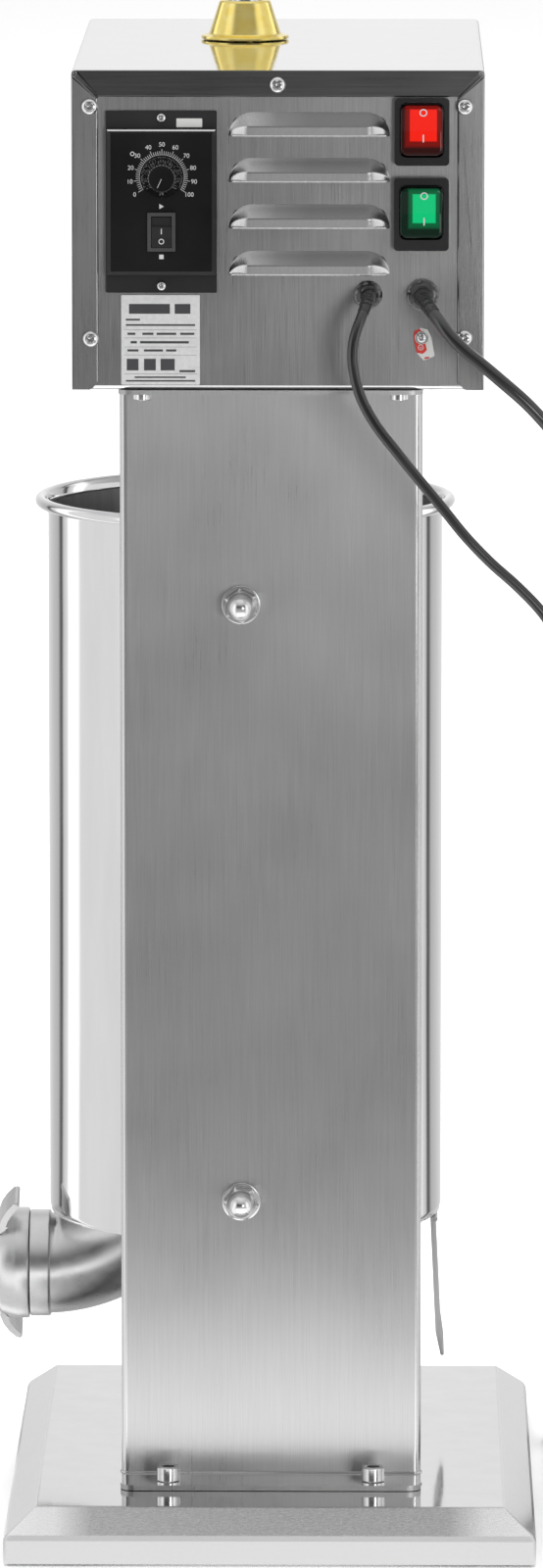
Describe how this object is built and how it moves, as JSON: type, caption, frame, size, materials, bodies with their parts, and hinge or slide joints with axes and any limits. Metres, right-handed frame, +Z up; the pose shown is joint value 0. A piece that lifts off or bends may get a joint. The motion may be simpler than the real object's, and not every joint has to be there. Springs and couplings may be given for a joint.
{
  "type": "sausage stuffer",
  "caption": "Electric upright sausage stuffer: a motor in the head drives a screw and piston down a lift-off steel barrel with a side spout, on a column and base.",
  "frame": {"origin": "centre of the base tray's footprint, on the surface that the feet stand on", "axes": "+Z up, -Y towards the control panel, +Y towards the barrel's far side, -X towards the spout"},
  "size_m": [0.4531, 0.42, 0.84],
  "materials": {
    "brushed": "brushed stainless sheet",
    "polished": "polished stainless",
    "zinc": "bright stainless and zinc",
    "brass": "polished brass",
    "bronze": "machined bronze",
    "cast_iron": "machined iron",
    "motor_paint": "painted casting",
    "black_plastic": "black moulded plastic",
    "rubber": "matt rubber",
    "silicone": "food-grade silicone",
    "nylon": "machined white plastic",
    "label": "silvered label film",
    "red_tag": "printed tag",
    "red_lens": "clear red lens",
    "green_lens": "clear green lens",
    "cord": "black cable jacket"
  },
  "bodies": {
    "frame": {"base_tray": "polished", "foot_rear_left": "rubber", "foot_rear_right": "rubber", "foot_front_left": "rubber", "foot_front_right": "rubber", "column": "brushed", "flange_screw_left": "zinc", "flange_screw_right": "zinc", "head_screw_left": "zinc", "head_screw_right": "zinc", "washer_upper": "zinc", "washer_lower": "zinc", "dome_nut_upper": "zinc", "dome_nut_lower": "zinc", "hanger_upper": "brushed", "hanger_lower": "brushed", "head_cover": "brushed", "head_floor_plate": "brushed", "guide_cap": "brass", "rear_panel": "brushed", "panel_screw_top": "zinc", "panel_screw_upper_left": "zinc", "panel_screw_upper_right": "zinc", "panel_screw_lower_left": "zinc", "panel_screw_lower_right": "zinc", "rating_plate": "label", "earth_terminal": "red_tag", "gland_pedal": "black_plastic", "gland_mains": "black_plastic", "speed_controller": "black_plastic", "power_frame": "black_plastic", "direction_frame": "black_plastic", "nut_bearing": "cast_iron", "gear_plate": "brushed", "gearbox": "motor_paint", "motor": "motor_paint", "mains_cord": "cord", "mains_coil": "cord", "mains_plug": "black_plastic", "pedal_cord": "cord", "pedal_coil": "cord", "pedal_base": "black_plastic"},
    "drive_gear": {"drive_gear": "cast_iron", "lead_nut": "bronze"},
    "motor_pinion": {"motor_pinion": "zinc"},
    "ram": {"lead_screw": "zinc", "piston_disc": "nylon", "piston_seal": "silicone"},
    "air_valve": {"air_valve": "silicone"},
    "barrel": {"barrel": "polished", "outlet_elbow": "polished", "barrel_leg": "brushed", "barrel_hook_upper": "brushed", "barrel_hook_lower": "brushed"},
    "wing_nut": {"wing_nut": "polished"},
    "speed_knob": {"speed_knob": "zinc"},
    "run_rocker": {"run_rocker": "black_plastic"},
    "power_rocker": {"power_rocker": "red_lens"},
    "direction_rocker": {"direction_rocker": "green_lens"},
    "pedal_treadle": {"pedal_treadle": "black_plastic"}
  },
  "joints": [
    {"name": "drive_gear_spin", "type": "hinge", "parent": "frame", "child": "drive_gear", "pos_m": [-0.0165, 0.065, 0.667], "axis": [0, 0, 1], "range_deg": [-1080, 14760]},
    {"name": "ram_lift", "type": "slide", "parent": "frame", "child": "ram", "axis": [0, 0, 1], "range_m": [-0.031, 0.411]},
    {"name": "pinion_spin", "type": "hinge", "parent": "frame", "child": "motor_pinion", "pos_m": [-0.0165, -0.0105, 0.667], "axis": [0, 0, 1], "range_deg": [-44300, 3300]},
    {"name": "air_valve_travel", "type": "slide", "parent": "ram", "child": "air_valve", "axis": [0, 0, 1], "range_m": [0, 0.004], "stiffness_N_per_m": 300, "springref_m": -0.001},
    {"name": "barrel_lift", "type": "slide", "parent": "frame", "child": "barrel", "axis": [0, 0, 1], "range_m": [0, 0.012]},
    {"name": "wing_nut_turn", "type": "hinge", "parent": "barrel", "child": "wing_nut", "pos_m": [-0.148, 0.065, 0.116], "axis": [-1, 0, 0], "continuous": true},
    {"name": "speed_knob_turn", "type": "hinge", "parent": "frame", "child": "speed_knob", "pos_m": [-0.0588, -0.16, 0.7586], "axis": [0, 1, 0], "range_deg": [0, 278]},
    {"name": "run_rocker_tip", "type": "hinge", "parent": "frame", "child": "run_rocker", "pos_m": [-0.0591, -0.1582, 0.7288], "axis": [1, 0, 0], "range_deg": [-16, 0]},
    {"name": "power_rocker_tip", "type": "hinge", "parent": "frame", "child": "power_rocker", "pos_m": [0.08205, -0.1552, 0.78295], "axis": [1, 0, 0], "range_deg": [-12, 0]},
    {"name": "direction_rocker_tip", "type": "hinge", "parent": "frame", "child": "direction_rocker", "pos_m": [0.0818, -0.1552, 0.7382], "axis": [1, 0, 0], "range_deg": [-12, 0]},
    {"name": "pedal_press", "type": "hinge", "parent": "frame", "child": "pedal_treadle", "pos_m": [0.207, -0.0635, 0.031], "axis": [1, 0, 0], "range_deg": [-5, 0], "stiffness_Nm_per_rad": 7, "springref_deg": 2.86}
  ],
  "couplings": [
    {"joint": "ram_lift", "follows": "drive_gear_spin", "m_per_rad": 0.0015915},
    {"joint": "pinion_spin", "follows": "drive_gear_spin", "ratio": -3}
  ]
}
